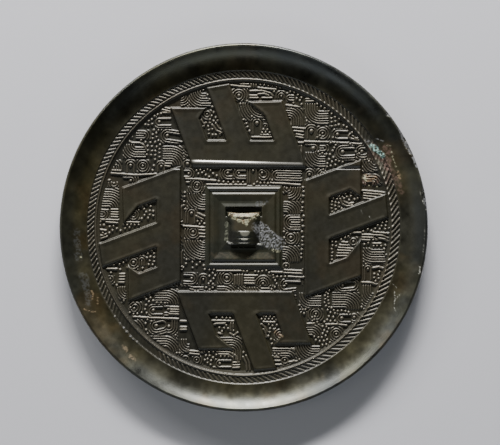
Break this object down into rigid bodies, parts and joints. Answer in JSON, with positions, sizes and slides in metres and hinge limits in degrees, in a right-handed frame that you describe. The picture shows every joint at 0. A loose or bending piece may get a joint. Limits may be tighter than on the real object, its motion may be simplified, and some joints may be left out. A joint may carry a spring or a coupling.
{
  "type": "bronze mirror",
  "caption": "Ancient round cast bronze mirror, back up: upturned plain rim, rope band, slanted pronged motifs on a patterned field, square seat with a bridge knob.",
  "frame": {"origin": "centre of the polished face, on the surface that the mirror lies on", "axes": "+Z out of the decorated back, +Y towards the top of the back as the picture shows it, +X to the right; the knob's tunnel runs along Y"},
  "size_m": [0.14, 0.14, 0.0068],
  "materials": {
    "old_bronze": "dark olive-brown patinated cast bronze, satin, with worn edges and earthy dirt in the low places"
  },
  "bodies": {
    "root": {"mirror": "old_bronze"}
  },
  "joints": []
}
